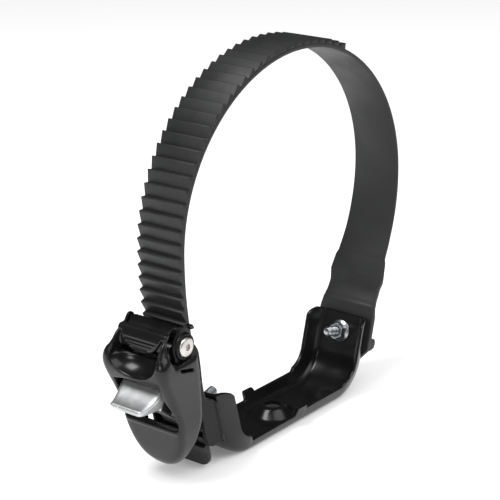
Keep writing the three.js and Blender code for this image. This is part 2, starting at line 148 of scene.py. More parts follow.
width_by_height = [(strap_foot, 11), (21, 17.1), (38, 17.0), (47, 15.4), (51.6, 15.3), (57, 16.6),
                   (65, 15.5), (66.6, 14.6), (78, 14.0), (110, 13.4), (175, strap_half)]
teeth_end = tooth_start + tooth_count * tooth_pitch
shield_from = route_length - 46


def half_width(s, z):
    """Half the strap's width: round at its free end, broad where it is bolted down."""
    corner = 5.0
    if s < corner:
        return strap_half - corner + math.sqrt(max(s * (2 * corner - s), 0.0))
    if s < teeth_end:
        return strap_half
    return float(np.interp(z, *zip(*width_by_height)))


def thickness(s):
    """The strap's thickness along its length, without the teeth."""
    if s < teeth_end:
        return root_thick
    return float(np.interp(
        s, [teeth_end, shield_from, shield_from + 2.5], [plain_thick, plain_thick, end_thick]))


def new_mesh(name, points, faces):
    """An object made from points in millimetres, placed in the model's frame."""
    mesh = bpy.data.meshes.new(name)
    mesh.from_pydata([place(*p) for p in points], [], faces)
    mesh.validate()
    piece = bpy.data.objects.new(name, mesh)
    bpy.context.scene.collection.objects.link(piece)
    return piece


def outward(piece):
    """Merges doubled points and turns every face outwards."""
    shell = bmesh.new()
    shell.from_mesh(piece.data)
    bmesh.ops.remove_doubles(shell, verts=shell.verts, dist=0.00001)
    bmesh.ops.recalc_face_normals(shell, faces=shell.faces)
    shell.to_mesh(piece.data)
    shell.free()


def smooth(piece, degrees=40):
    """Smooth shading, broken at edges sharper than that."""
    piece.data.polygons.foreach_set("use_smooth", [True] * len(piece.data.polygons))
    piece.data.set_sharp_from_angle(angle=math.radians(degrees))


def bevel(piece, width, degrees=35, segments=2):
    """Rounds the piece's sharp edges, with width in millimetres."""
    rounding = piece.modifiers.new("Rounded edges", "BEVEL")
    rounding.width = width * MM
    rounding.segments = segments
    rounding.limit_method = "ANGLE"
    rounding.angle_limit = math.radians(degrees)
    rounding.harden_normals = False


def settle(piece):
    """Bakes the piece's modifiers into its mesh."""
    view = bpy.context.evaluated_depsgraph_get()
    done = bpy.data.meshes.new_from_object(piece.evaluated_get(view))
    piece.modifiers.clear()
    piece.data = done
    return piece


def sweep(rings):
    """Points and faces of a closed body through rings of the same number of points."""
    count = len(rings[0])
    points = [p for ring in rings for p in ring]
    faces = [list(range(count))[::-1]]
    for r in range(len(rings) - 1):
        for i in range(count):
            a, b = r * count + i, r * count + (i + 1) % count
            faces.append([a, b, b + count, a + count])
    faces.append([(len(rings) - 1) * count + i for i in range(count)])
    return points, faces


def strap_ring(s):
    """The strap's section at that length: flat inside, small round corners, flat outside."""
    x, z, nx, nz = on_route(s)
    half, thick = half_width(s, z), thickness(s)
    r = 0.5
    corner = [(1 - math.cos(a), 1 - math.sin(a)) for a in (0, math.pi / 4, math.pi / 2)]
    side = [(half - r * cy, r * ch) for cy, ch in reversed(corner)]
    side += [(half - r * cy, thick - r * ch) for cy, ch in corner]
    section = side + [(-y, h) for y, h in reversed(side)]
    return [(x + nx * h, y, z + nz * h) for y, h in section]


def seated(x, z, direction, y=0.0):
    """Stands a piece made along +Z on a point of the side view, facing that direction."""
    turn = Vector(direction).to_track_quat("Z", "Y").to_matrix().to_4x4()
    return Matrix.Translation(place(x, y, z)) @ turn


def turned(name, profile, sides=64):
    """A closed profile of radii and heights in millimetres, turned about Z."""
    count = len(profile)
    points = [Vector((r * math.cos(a), r * math.sin(a), z)) * MM
              for a in np.linspace(0, 2 * math.pi, sides, endpoint=False) for r, z in profile]
    faces = []
    for i in range(sides):
        j = (i + 1) % sides
        for k in range(count):
            m = (k + 1) % count
            faces.append((i * count + k, j * count + k, j * count + m, i * count + m))
    mesh = bpy.data.meshes.new(name)
    mesh.from_pydata(points, [], faces)
    piece = bpy.data.objects.new(name, mesh)
    bpy.context.scene.collection.objects.link(piece)
    outward(piece)
    return piece


def bore(piece, cutter):
    """Cuts the cutter out of the piece and removes it."""
    cut = piece.modifiers.new("Hole", "BOOLEAN")
    cut.operation = "DIFFERENCE"
    cut.solver = "EXACT"
    cut.object = cutter
    settle(piece)
    bpy.data.objects.remove(cutter)
    return piece


def into_loop(side):
    """The direction square to an arm, into the clamp."""
    return (-side * math.cos(arm_lean), 0, math.sin(arm_lean))


stations = sorted(set(
    [0.02, 0.3, 0.8, 1.4, 2.2, 3.2, 4.4, 5.0]
    + list(np.arange(6.0, shield_from - 1, 1.5))
    + list(np.arange(shield_from - 1, route_length - 0.01, 0.5)) + [route_length]))
strap_body = new_mesh("strap_moulding", *sweep([strap_ring(s) for s in stations]))
outward(strap_body)
bar_from = route_length - 13.6
bar_side = [(0, 2.2), (0.1, 3.6), (0.5, 6.2), (1.4, 7.4), (3.4, 7.5), (5.4, 7.1), (6.4, 5.4),
            (7.0, 3.6), (7.3, 2.2)]
bar_rings = []
for y in (-17.0, 17.0):
    ring = []
    for s, h in bar_side:
        x, z, nx, nz = on_route(bar_from + s)
        ring.append((x + nx * h, y, z + nz * h))
    bar_rings.append(ring)
cross_bar = new_mesh("cross_bar", *sweep(bar_rings))
outward(cross_bar)
bevel(cross_bar, 0.9, 50, 3)
settle(cross_bar)
for piece, radius, start, end in ((cross_bar, 6.4, -12, -3.3), (strap_body, bolt_bore, -8, 4)):
    cutter = turned("cutter", [(0, start), (radius, start), (radius, end), (0, end)], 48)
    cutter.data.transform(seated(arm_face(1, bolt_z), bolt_z, into_loop(1)))
    bore(piece, cutter)


def plastic(name, tone, rough, grain=0.02, scale=1400.0, wear=0.35, shine=0.36):
    """Moulded plastic: fine spark-eroded grain, faint flow marks and rubbed patches."""
    material = bpy.data.materials.new(name)
    material.use_nodes = True
    nodes, links = material.node_tree.nodes, material.node_tree.links
    shader = nodes["Principled BSDF"]
    shader.inputs["Specular IOR Level"].default_value = shine
    where = nodes.new("ShaderNodeTexCoord")
    fine = nodes.new("ShaderNodeTexNoise")
    fine.inputs["Scale"].default_value = scale
    fine.inputs["Detail"].default_value = 3
    flow = nodes.new("ShaderNodeTexNoise")
    flow.inputs["Scale"].default_value = 60
    flow.inputs["Detail"].default_value = 5
    links.new(where.outputs["Object"], fine.inputs["Vector"])
    links.new(where.outputs["Object"], flow.inputs["Vector"])
    shade = nodes.new("ShaderNodeValToRGB")
    shade.color_ramp.elements[0].color = (*[c * 0.75 for c in tone], 1)
    shade.color_ramp.elements[1].color = (*[c * 1.3 for c in tone], 1)
    links.new(flow.outputs["Fac"], shade.inputs["Fac"])
    links.new(shade.outputs["Color"], shader.inputs["Base Color"])
    gloss = nodes.new("ShaderNodeMapRange")
    gloss.inputs["From Min"].default_value = 0.3
    gloss.inputs["From Max"].default_value = 0.7
    gloss.inputs["To Min"].default_value = rough * (1 - wear * 0.5)
    gloss.inputs["To Max"].default_value = rough * (1 + wear * 0.5)
    links.new(flow.outputs["Fac"], gloss.inputs["Value"])
    links.new(gloss.outputs["Result"], shader.inputs["Roughness"])
    relief = nodes.new("ShaderNodeBump")
    relief.inputs["Strength"].default_value = 0.35
    relief.inputs["Distance"].default_value = grain * MM
    links.new(fine.outputs["Fac"], relief.inputs["Height"])
    links.new(relief.outputs["Normal"], shader.inputs["Normal"])
    return material


strap_black = plastic("strap_nylon", (0.015, 0.0153, 0.016), 0.5)


def tooth_block():
    """One tooth: a ramp that rises along the strap and drops steeply, its ends chamfered."""
    sunk, end, rise = 1.0, strap_half - 0.15, tip_thick - root_thick
    side = [(0.05, -sunk), (0.05, 0.05), (0.5, 0.2), (5.05, rise - 0.05), (5.4, rise),
            (5.6, rise - 0.25), (5.95, 0.0), (5.95, -sunk)]
    rings = [[(s, y, h) for s, h in side] for y in (-end, end)]
    points, faces = sweep(rings)
    mesh = bpy.data.meshes.new("tooth")
    mesh.from_pydata([Vector(p) * MM for p in points], [], faces)
    block = bpy.data.objects.new("tooth", mesh)
    bpy.context.scene.collection.objects.link(block)
    outward(block)
    bevel(block, 0.22, 30, 2)
    return settle(block)


def row_tree():
    """Sets copies of a block along a line, each turned to follow it."""
    tree = bpy.data.node_groups.new("Row along a line", "GeometryNodeTree")
    face = tree.interface
    face.new_socket("Geometry", in_out="INPUT", socket_type="NodeSocketGeometry")
    face.new_socket("Block", in_out="INPUT", socket_type="NodeSocketObject")
    face.new_socket("Start", in_out="INPUT", socket_type="NodeSocketFloat")
    face.new_socket("End", in_out="INPUT", socket_type="NodeSocketFloat")
    face.new_socket("Count", in_out="INPUT", socket_type="NodeSocketInt")
    face.new_socket("Finish", in_out="INPUT", socket_type="NodeSocketMaterial")
    face.new_socket("Geometry", in_out="OUTPUT", socket_type="NodeSocketGeometry")
    add, link = tree.nodes.new, tree.links.new
    given, made = add("NodeGroupInput"), add("NodeGroupOutput")
    trim = add("GeometryNodeTrimCurve")
    trim.mode = "LENGTH"
    spread = add("GeometryNodeResampleCurve")
    spread.mode = "COUNT"
    tangent = add("GeometryNodeInputTangent")
    turn = add("FunctionNodeAlignRotationToVector")
    turn.axis = "X"
    turn.pivot_axis = "Y"
    block = add("GeometryNodeObjectInfo")
    copies = add("GeometryNodeInstanceOnPoints")
    real = add("GeometryNodeRealizeInstances")
    paint = add("GeometryNodeSetMaterial")
    link(given.outputs["Geometry"], trim.inputs["Curve"])
    link(given.outputs["Start"], trim.inputs[4])
    link(given.outputs["End"], trim.inputs[5])
    link(trim.outputs["Curve"], spread.inputs["Curve"])
    link(given.outputs["Count"], spread.inputs["Count"])
    link(tangent.outputs["Tangent"], turn.inputs["Vector"])
    link(given.outputs["Block"], block.inputs["Object"])
    link(spread.outputs["Curve"], copies.inputs["Points"])
    link(block.outputs["Geometry"], copies.inputs["Instance"])
    link(turn.outputs["Rotation"], copies.inputs["Rotation"])
    link(copies.outputs["Instances"], real.inputs["Geometry"])
    link(real.outputs["Geometry"], paint.inputs["Geometry"])
    link(given.outputs["Finish"], paint.inputs["Material"])
    link(paint.outputs["Geometry"], made.inputs["Geometry"])
    return tree


def set_inputs(modifier, **values):
    """Fills a node modifier's named inputs."""
    for item in modifier.node_group.interface.items_tree:
        if item.item_type == "SOCKET" and item.in_out == "INPUT" and item.name in values:
            modifier[item.identifier] = values[item.name]


def line_object(name, points):
    """A poly line through points in metres."""
    curve = bpy.data.curves.new(name, "CURVE")
    curve.dimensions = "3D"
    spline = curve.splines.new("POLY")
    spline.points.add(len(points) - 1)
    for point, at in zip(spline.points, points):
        point.co = (*at, 1)
    piece = bpy.data.objects.new(name, curve)
    bpy.context.scene.collection.objects.link(piece)
    return piece


def baked(piece, name):
    """The evaluated geometry of piece as a plain mesh object; piece itself is removed."""
    view = bpy.context.evaluated_depsgraph_get()
    view.update()
    mesh = bpy.data.meshes.new_from_object(piece.evaluated_get(view))
    result = bpy.data.objects.new(name, mesh)
    bpy.context.scene.collection.objects.link(result)
    bpy.data.objects.remove(piece)
    return result


def join(keep, *others):
    """Puts the other pieces' meshes into keep."""
    bpy.ops.object.select_all(action="DESELECT")
    for piece in (keep, *others):
        piece.select_set(True)
    bpy.context.view_layer.objects.active = keep
    bpy.ops.object.join()
    return keep


tooth = tooth_block()
outside_steps = np.arange(0, teeth_end + 8, 0.5)
outside = []
for s in outside_steps:
    x, z, nx, nz = on_route(s)
    outside.append(place(x + nx * root_thick, 0, z + nz * root_thick))
gaps = [(b - a).length for a, b in zip(outside, outside[1:])]
outside_length = np.concatenate([[0], np.cumsum(gaps)])
first = float(np.interp(tooth_start, outside_steps, outside_length))
last = float(np.interp(teeth_end - tooth_pitch, outside_steps, outside_length))
rail = line_object("tooth_line", outside)
row = rail.modifiers.new("Teeth", "NODES")
row.node_group = row_tree()
set_inputs(row, Block=tooth, Start=first, End=last, Count=tooth_count, Finish=strap_black)
teeth = baked(rail, "strap_teeth")
bpy.data.objects.remove(tooth)
strap_body.data.materials.append(strap_black)
cross_bar.data.materials.append(strap_black)
join(strap_body, teeth, cross_bar)
smooth(strap_body, 35)
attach(strap_body, "base")
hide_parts("strap")

# ---- lever ----
# The buckle's thumb lever, one glossy black moulding: rails each side of a finger bowl, a
# ribbed pad over the hinge, a window for the release tab, and skirts that hide the frame.

hinge = (-89.3, 72.2)
drive_pin = (-90.8, 62.4)
drive_bore = 1.8
lever_wall = 1.6
rail_inside = 13.1
hinge_clear, pocket_floor, pad_face = 9.5, 10.4, 11.9
clear_half = 17.7
arm_middle, arm_half, arm_round = 13.6, 0.7, 4.9


def lattice(low, high, step):
    """The points of a box-shaped grid as three open arrays, and its low corner."""
    axes = [np.arange(a, b + step, step) for a, b in zip(low, high)]
    return np.meshgrid(*axes, indexing="ij", sparse=True), np.array(low)


def softened(points):
    """Cuts the corners of an outline, so that they turn more smoothly."""
    cut = []
    for (ax, az), (bx, bz) in zip(points, points[1:] + points[:1]):
        cut += [(ax * 0.75 + bx * 0.25, az * 0.75 + bz * 0.25),
                (ax * 0.25 + bx * 0.75, az * 0.25 + bz * 0.75)]
    return cut


def to_outline(u, v, points):
    """Distance to a closed outline, negative inside it."""
    u, v = np.broadcast_arrays(u, v)
    best = np.full(u.shape, 1e9)
    inside = np.zeros(u.shape, bool)
    for (ax, ay), (bx, by) in zip(points, points[1:] + points[:1]):
        ex, ey = bx - ax, by - ay
        t = np.clip(((u - ax) * ex + (v - ay) * ey) / (ex * ex + ey * ey + 1e-12), 0, 1)
        best = np.minimum(best, (u - ax - ex * t) ** 2 + (v - ay - ey * t) ** 2)
        if ay != by:
            inside ^= ((ay > v) != (by > v)) & (u < ex * (v - ay) / ey + ax)
    return np.where(inside, -1, 1) * np.sqrt(best)


def both(a, b, soft=0.0):
    """The part that two shapes share, with their meeting edge rounded."""
    if soft == 0:
        return np.maximum(a, b)
    return np.maximum(a, b) + np.maximum(soft - np.abs(a - b), 0) ** 2 / (4 * soft)


def either(a, b, soft=0.0):
    """Two shapes joined, with a fillet between them."""
    return -both(-a, -b, soft)


def cut_away(a, b, soft=0.0):
    """The first shape without the second."""
    return both(a, -b, soft)


def to_rod(u, v, at, radius):
    """Distance to a round bar."""
    return np.hypot(u - at[0], v - at[1]) - radius


def skin(name, field, low, step):
    """An object whose surface lies where the field crosses zero, a point in each cell crossed."""
    size = np.array(field.shape)
    inside = field < 0
    corners = [(i, j, k) for i in (0, 1) for j in (0, 1) for k in (0, 1)]
    filled = np.zeros(size - 1, np.int8)
    for i, j, k in corners:
        filled += inside[i:size[0] - 1 + i, j:size[1] - 1 + j, k:size[2] - 1 + k]
    cells = np.argwhere((filled > 0) & (filled < 8))
    number = np.full(size - 1, -1)
    number[tuple(cells.T)] = np.arange(len(cells))
    total, hits = np.zeros((len(cells), 3)), np.zeros(len(cells))
    for axis in range(3):
        for corner in corners:
            if corner[axis]:
                continue
            start = cells + corner
            end = start.copy()
            end[:, axis] += 1
            a, b = field[tuple(start.T)], field[tuple(end.T)]
            crossed = (a < 0) != (b < 0)
            share = np.where(crossed, a / np.where(crossed, a - b, 1), 0)
            at = start.astype(float)
            at[:, axis] += share
            total += at * crossed[:, None]
            hits += crossed
    points = total / hits[:, None] * step + low
    faces = []
    for axis in range(3):
        u, v = (axis + 1) % 3, (axis + 2) % 3
        near = np.moveaxis(inside, axis, 0)[:-1]
        far = np.moveaxis(inside, axis, 0)[1:]
        order = [axis] + [w for w in range(3) if w != axis]
        for leaves, flip in ((near & ~far, False), (~near & far, True)):
            starts = np.argwhere(leaves)
            where = np.zeros((len(starts), 3), int)
            where[:, order] = starts
            ring = []
            for du, dv in ((-1, -1), (0, -1), (0, 0), (-1, 0)):
                cell = where.copy()
                cell[:, u] += du
                cell[:, v] += dv
                ring.append(number[tuple(cell.T)])
            faces.append(np.stack(ring[::-1] if flip else ring, 1))
    mesh = bpy.data.meshes.new(name)
    placed = (points + np.array([middle, 0, 0])) * MM
    mesh.from_pydata(placed.tolist(), [], np.concatenate(faces).tolist())
    piece = bpy.data.objects.new(name, mesh)
    bpy.context.scene.collection.objects.link(piece)
    mesh.polygons.foreach_set("use_smooth", [True] * len(mesh.polygons))
    return piece


lever_side = softened([
    (-95.9, 79.6), (-98.4, 79.0), (-101.6, 76.0), (-104.2, 72.4), (-106.4, 69), (-107.6, 64.6),
    (-106.9, 60), (-104.6, 54.6), (-100.8, 47.6), (-96.6, 38.5), (-95.2, 33), (-94.4, 29.2),
    (-92.6, 22), (-90.6, 14.5), (-88.4, 8.8), (-85.4, 5.9), (-82, 7.4), (-79.8, 14), (-77.8, 22),
    (-76.8, 28), (-76, 34), (-76.2, 41), (-77.3, 50), (-79, 58), (-80.4, 63), (-81.0, 67.4),
    (-82.6, 67.7), (-88, 66.9), (-97.0, 65.5), (-98.6, 68), (-98.9, 72.2), (-97.4, 77.6)])
front_edge = [
    (11.5, 81), (14.5, 79.6), (16, 76.5), (16.4, 71.6), (18.6, 68.4), (19.3, 65), (19.3, 61),
    (18.5, 52), (18, 42), (18, 31.4), (17.4, 26.5), (15.8, 20.5), (13.6, 15.6), (11, 11.8),
    (7.4, 8.6), (2, 6.0)]
lever_front = softened(front_edge + [(-y, z) for y, z in reversed(front_edge)])
lever_hollow = [
    (-102.9, 56.6), (-99.8, 58.4), (-97.3, 61), (-95.8, 64), (-95.6, 68), (-94, 72.5), (-70, 72.5),
    (-70, 4), (-84.6, 9.6), (-86.9, 14.8), (-89.0, 22.4), (-91.4, 29.6), (-93.6, 36),
    (-97.4, 45), (-101.3, 53.5)]
window_edge = [
    (13.2, 55.6), (13.8, 50), (14.5, 46), (15.6, 42.4), (16.2, 38.6), (15.6, 35.4), (13.6, 33.8)]
lever_window = softened(window_edge + [(-y, z) for y, z in reversed(window_edge)])


def lever_field(x, y, z):
    """The lever's body: negative in its plastic."""
    ay = np.abs(y)
    radius = np.hypot(x - hinge[0], z - hinge[1])
    front = to_outline(y, z, lever_front)
    side = to_outline(x, z, lever_side)
    body = both(side, front, 4.5)
    body = cut_away(body, both(to_outline(x, z, lever_hollow), front + lever_wall, 1.5), 0.5)
    # The pocket between the rails, running down into the finger bowl.
    pocket = both(both(ay - rail_inside, z - 77.2, 1.2), np.maximum(pocket_floor - radius, 66.8 - z), 0.8)
    bowl = (np.sqrt(((x + 108.5) / 11.2) ** 2 + (y / 14.1) ** 2 + ((z - 67.2) / 9.4) ** 2) - 1) * 9
    body = cut_away(body, either(pocket, bowl, 1.5), 1.2)
    # The pad over the hinge, its ribs and the band along its top.
    outline = (np.sqrt((y / 12.0) ** 2 + ((z - 78.5) / 10.2) ** 2) - 1) * 10
    band = both(ay - 14.4, np.abs(z - 78.3) - 1.3, 0.4)
    pad = both(both(radius - pad_face, either(outline, band, 0.8), 0.8), z - 79.6, 0.5)
    angle = np.arctan2(z - hinge[1], hinge[0] - x)
    ribs = np.full(np.broadcast(x, y, z).shape, 9.0)
    for rib in (16, 8, 0, -8):
        ribs = np.minimum(ribs, np.hypot(radius - pad_face, 12 * (angle - math.radians(rib))) - 0.42)
    pad = either(pad, both(ribs, outline + 1.3, 0.3), 0.3)
    body = either(body, both(pad, hinge_clear - 0.1 - radius), 0.3)
    body = cut_away(body, both(radius - hinge_clear, ay - clear_half), 0.3)
    # The window, the bevelled shelf under it, the dished lip and the slot in each skirt.
    window = both(to_outline(y, z, lever_window), x + 90.6)
    body = cut_away(body, window, 0.9)
    shelf = (x + 94.9) * 0.82 - (z - 29.6) * 0.58
    body = cut_away(body, both(both(shelf, z - 36), ay - 16.4, 0.8), 0.8)
    dish = both(both(front + 2.2, z - 28.6, 1.5), -0.5 - side)
    body = cut_away(body, both(dish, x + 84.5), 0.9)
    slot = np.hypot(np.maximum(np.abs(x + 90.2) - 4.0, 0), (z - 61.2) + (x + 90) * 0.24) - 0.7
    body = cut_away(body, both(slot, 15.0 - ay), 0.3)
    # The two arms that hold it to the hinge, bored for the hinge and for the pawl's pin.
    link = to_outline(x, z, [(-94.2, 72.6), (-99.6, 71.4), (-103.4, 66), (-101.8, 59.4), (-88, 58.2),
                             (-85, 70)])
    arms = both(either(radius - arm_round, link, 0.8), np.abs(ay - arm_middle) - arm_half, 0.3)
    body = cut_away(either(body, arms, 0.5), radius - 3.7, 0.2)
    return cut_away(body, both(to_rod(x, z, drive_pin, drive_bore), ay - 15.2))


glossy_black = plastic("lever_plastic", (0.006, 0.006, 0.0063), 0.24, grain=0.004, scale=900, wear=0.4)
lever_step = 0.45
(grid_x, grid_y, grid_z), corner = lattice((-110, -20.2, 4.5), (-74.5, 20.2, 82), lever_step)
lever = skin("lever_moulding", lever_field(grid_x, grid_y, grid_z), corner, lever_step)
lever.data.materials.append(glossy_black)
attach(lever, "lever")
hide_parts("lever")

# ---- release lever ----
# A silver thumb tab with a hinge barrel and locking toe in one casting. Pressing the tab
# down lifts the toe out of the strap's teeth.

catch_pin = (-86.5, 36.8)
catch_bore = 1.9
tab_side = softened([
    (-98.4, 53.6), (-100.2, 54.2), (-101.8, 53.2), (-103.8, 50.0), (-106.4, 47.6), (-109.4, 46.0),
    (-112.3, 45.3), (-112.1, 43.0), (-109.4, 41.8), (-104, 41), (-97.2, 40.6), (-94.2, 43.6),
    (-95.2, 48.5)])
tab_edge = [(9.0, 54.6), (12, 53.4), (12.3, 50), (11.9, 48.2), (11.0, 46.2), (9.8, 44.4), (8, 39)]
tab_front = softened(tab_edge + [(-y, z) for y, z in reversed(tab_edge)])


def release_field(x, y, z):
    """The release lever: negative in its metal."""
    ay = np.abs(y)
    tab = both(to_outline(x, z, tab_side), to_outline(y, z, tab_front), 2.4)
    spoon = np.hypot(np.hypot(x + 111, z - 60), y * 0.25) - 13.2
    tab = cut_away(tab, spoon, 2.0)
    link = both(to_outline(x, z, [(-97.2, 40.8), (-90, 35.2), (-85, 34), (-83.4, 38.5), (-90, 42.4),
                                  (-95, 46)]), ay - 9, 0.8)
    barrel = both(to_rod(x, z, catch_pin, 3.4), ay - 12.3, 0.4)
    toe = both(to_outline(x, z, [(-89, 39.2), (-85.6, 33.6), (-82.8, 36), (-78.2, 42.4), (-77.6, 43.2),
                                 (-78.3, 44.2), (-80.6, 43.8)]), ay - 11.5, 0.4)
    body = either(either(tab, link, 1.5), either(barrel, toe, 0.8), 1.0)
    return cut_away(body, to_rod(x, z, catch_pin, catch_bore))


def metal(name, tone, rough, scratches=0.25, stretch=(1, 30, 1), grain=0.004):
    """Bare or plated metal: fine brushed lines, cloudy roughness, faint tarnish."""
    material = bpy.data.materials.new(name)
    material.use_nodes = True
    nodes, links = material.node_tree.nodes, material.node_tree.links
    shader = nodes["Principled BSDF"]
    shader.inputs["Metallic"].default_value = 1
    where = nodes.new("ShaderNodeTexCoord")
    pull = nodes.new("ShaderNodeMapping")
    pull.inputs["Scale"].default_value = stretch
    brush = nodes.new("ShaderNodeTexNoise")
    brush.inputs["Scale"].default_value = 700
    brush.inputs["Detail"].default_value = 4
    cloud = nodes.new("ShaderNodeTexNoise")
    cloud.inputs["Scale"].default_value = 220
    cloud.inputs["Detail"].default_value = 4
    links.new(where.outputs["Object"], pull.inputs["Vector"])
    links.new(pull.outputs["Vector"], brush.inputs["Vector"])
    links.new(where.outputs["Object"], cloud.inputs["Vector"])
    shade = nodes.new("ShaderNodeValToRGB")
    shade.color_ramp.elements[0].position = 0.3
    shade.color_ramp.elements[0].color = (*[c * 0.82 for c in tone], 1)
    shade.color_ramp.elements[1].position = 0.7
    shade.color_ramp.elements[1].color = (*[min(c * 1.08, 1) for c in tone], 1)
    links.new(cloud.outputs["Fac"], shade.inputs["Fac"])
    links.new(shade.outputs["Color"], shader.inputs["Base Color"])
    gloss = nodes.new("ShaderNodeMapRange")
    gloss.inputs["To Min"].default_value = rough * (1 - scratches)
    gloss.inputs["To Max"].default_value = rough * (1 + scratches)
    links.new(brush.outputs["Fac"], gloss.inputs["Value"])
    links.new(gloss.outputs["Result"], shader.inputs["Roughness"])
    relief = nodes.new("ShaderNodeBump")
    relief.inputs["Strength"].default_value = 0.4
    relief.inputs["Distance"].default_value = grain * MM
    links.new(brush.outputs["Fac"], relief.inputs["Height"])
    links.new(relief.outputs["Normal"], shader.inputs["Normal"])
    return material


satin_silver = metal("satin_silver", (0.60, 0.605, 0.61), 0.5, 0.2, (1, 18, 1))
casting_step = 0.4
(grid_x, grid_y, grid_z), corner = lattice((-114, -13.4, 31.5), (-75, 13.4, 56), casting_step)
release = skin("release_casting", release_field(grid_x, grid_y, grid_z), corner, casting_step)
release.data.materials.append(satin_silver)
# Painted shade: the link, barrel and toe behind the tab take a dark copy of the silver, standing in for the
# buckle's shadow on them.
release.data.materials.append(metal("casting_painted_shade", (0.10, 0.10, 0.105), 0.5))
for face in release.data.polygons:
    if face.center.x > (middle - 97) * MM:
        face.material_index = 1
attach(release, "release_lever")
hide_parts("release_lever")

# ---- saddle ----
# One steel stamping: a flat base between two upturned arms, edged all round by a flared
# flange, with a raised boss for the fixing bolt. Powder coated gloss black.

web_half, sheet, flare = 14.2, 2.0, math.tan(math.radians(22))
arm_top = 37.5


def saddle_stations():
    """Along the channel's outside face: X, Z, inward normal and flange depth."""
    rise = (arm_top - arm_z) / math.cos(arm_lean)
    halves = []
    for side, base in ((-1, 6.0), (1, 7.8)):
        half = [(side * x, 0, 0, 1, base) for x in np.linspace(8, 37, 12)]
        for t in np.linspace(0, 1, 30):
            angle = (math.pi / 2 - arm_lean) * t
            depth = np.interp(t, [0, 0.14, 1], [base, 9.3, 10])
            half.append((side * (38 + 22 * math.sin(angle)), 22 * (1 - math.cos(angle)),
                         -side * math.sin(angle), math.cos(angle), depth))
        x0, z0 = half[-1][:2]
        for t in np.linspace(0, 1, 30)[1:]:
            depth = np.interp(t, [0, 0.8, 0.9, 0.96, 1], [10, 10, 8.6, 6.6, 4.7])
            half.append((x0 + side * t * rise * math.sin(arm_lean), z0 + t * rise * math.cos(arm_lean),
                         -side * math.cos(arm_lean), math.sin(arm_lean), depth))
        halves.append(half)
    tab = [(-3.3, 6), (-3.0, 6.4), (-2.8, 7.4), (-2.5, 9.6), (-2.2, 10.2), (-1.6, 10.3), (4.1, 10.3),
           (4.7, 10.2), (5.0, 9.8), (5.3, 8.7), (5.5, 8.0), (5.8, 7.8)]
    return halves[0][::-1] + [(x, 0, 0, 1, depth) for x, depth in tab] + halves[1]


def bent(p0, p1, p2, count):
    """A smooth turn from p0 to p2 that aims at p1."""
    return [tuple((1 - t) ** 2 * a + 2 * t * (1 - t) * b + t * t * c for a, b, c in zip(p0, p1, p2))
            for t in np.linspace(0, 1, count)]


def saddle_section(depth):
    """Half widths paired with distances in from the outside face."""
    inner, tip = web_half - sheet, web_half + flare * depth
    half = [(4, 0)] + bent((web_half - 2.6, 0), (web_half, 0), (web_half + flare * 2.6, 2.6), 7)
    half += bent((tip - 0.16, depth - 0.6), (tip + 0.03, depth), (tip - 0.7, depth), 4)
    half += bent((tip - 1.3, depth), (tip - 1.95, depth), (tip - 2.1, depth - 0.6), 4)
    half += bent((inner + flare * 4.0, 4.0), (inner, 2.0), (inner - 1.6, sheet), 7) + [(4, sheet)]
    return half + [(-y, d) for y, d in reversed(half)]


rings = [[(x + nx * d, y, z + nz * d) for y, d in saddle_section(depth)]
         for x, z, nx, nz, depth in saddle_stations()]
saddle = new_mesh("saddle_stamping", *sweep(rings))
outward(saddle)
floor_hole = turned("floor_hole", [(0, -2), (10.4, -2), (10.4, 5), (0, 5)])
floor_hole.data.transform(seated(0, 0, (0, 0, 1)))
bore(saddle, floor_hole)
for side in (-1, 1):
    bolt_hole = turned("bolt_hole", [(0, -3), (bolt_bore, -3), (bolt_bore, 6), (0, 6)], 40)
    bolt_hole.data.transform(seated(arm_face(side, bolt_z), bolt_z, into_loop(side)))
    bore(saddle, bolt_hole)
bevel(saddle, 0.25, 50, 2)
settle(saddle)
boss = turned("boss", [
    (13.4, 1.5), (12.9, 2.0), (12.0, 2.14), (11.2, 2.45), (10.3, 3.1), (7.5, 6.1), (6.9, 6.65), (6.2, 7.05),
    (5.4, 7.2), (4.5, 7.2), (4.12, 7.05), (4, 6.7), (4, 5.3), (4.8, 5.2), (8.8, 1.4), (9.6, 0.6), (10.6, 0.2),
    (12, 0.5)], 96)
boss.data.transform(seated(0, 0, (0, 0, 1)))
join(saddle, boss)
smooth(saddle, 40)


def coated(name, tone, rough, shine, peel=0.010):
    """Powder coat: a smooth skin with slight orange peel and a few dull, dusty patches."""
    return plastic(name, tone, rough, grain=peel, scale=420, wear=0.5, shine=shine)


coat_black = coated("black_powder_coat", (0.0045, 0.0045, 0.0047), 0.22, 0.36)
saddle.data.materials.clear()
saddle.data.materials.append(coat_black)
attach(saddle, "base")
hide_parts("saddle")

# ---- buckle frame and guide ----
# A stamped channel bolted to the saddle's arm. Its two ears carry the hinge and the release
# lever, and a curved guide between them keeps the strap against the pawls.

ear_in, ear_out = 14.6, 16.2
guide = (-89.8, 79.2)
foot_x, head_x = arm_face(-1, 13.5) - seat_gap, arm_face(-1, 36) - seat_gap
plate_side = [(foot_x, 13.5), (head_x, 36), (head_x - 1.8, 36), (foot_x - 1.8, 13.5)]


def arc_points(centre, radius, start, end, steps):
    """Points of an arc in the side view, with its angles in degrees."""
    return [(centre[0] + radius * math.cos(a), centre[1] + radius * math.sin(a))
            for a in np.radians(np.linspace(start, end, steps + 1))]


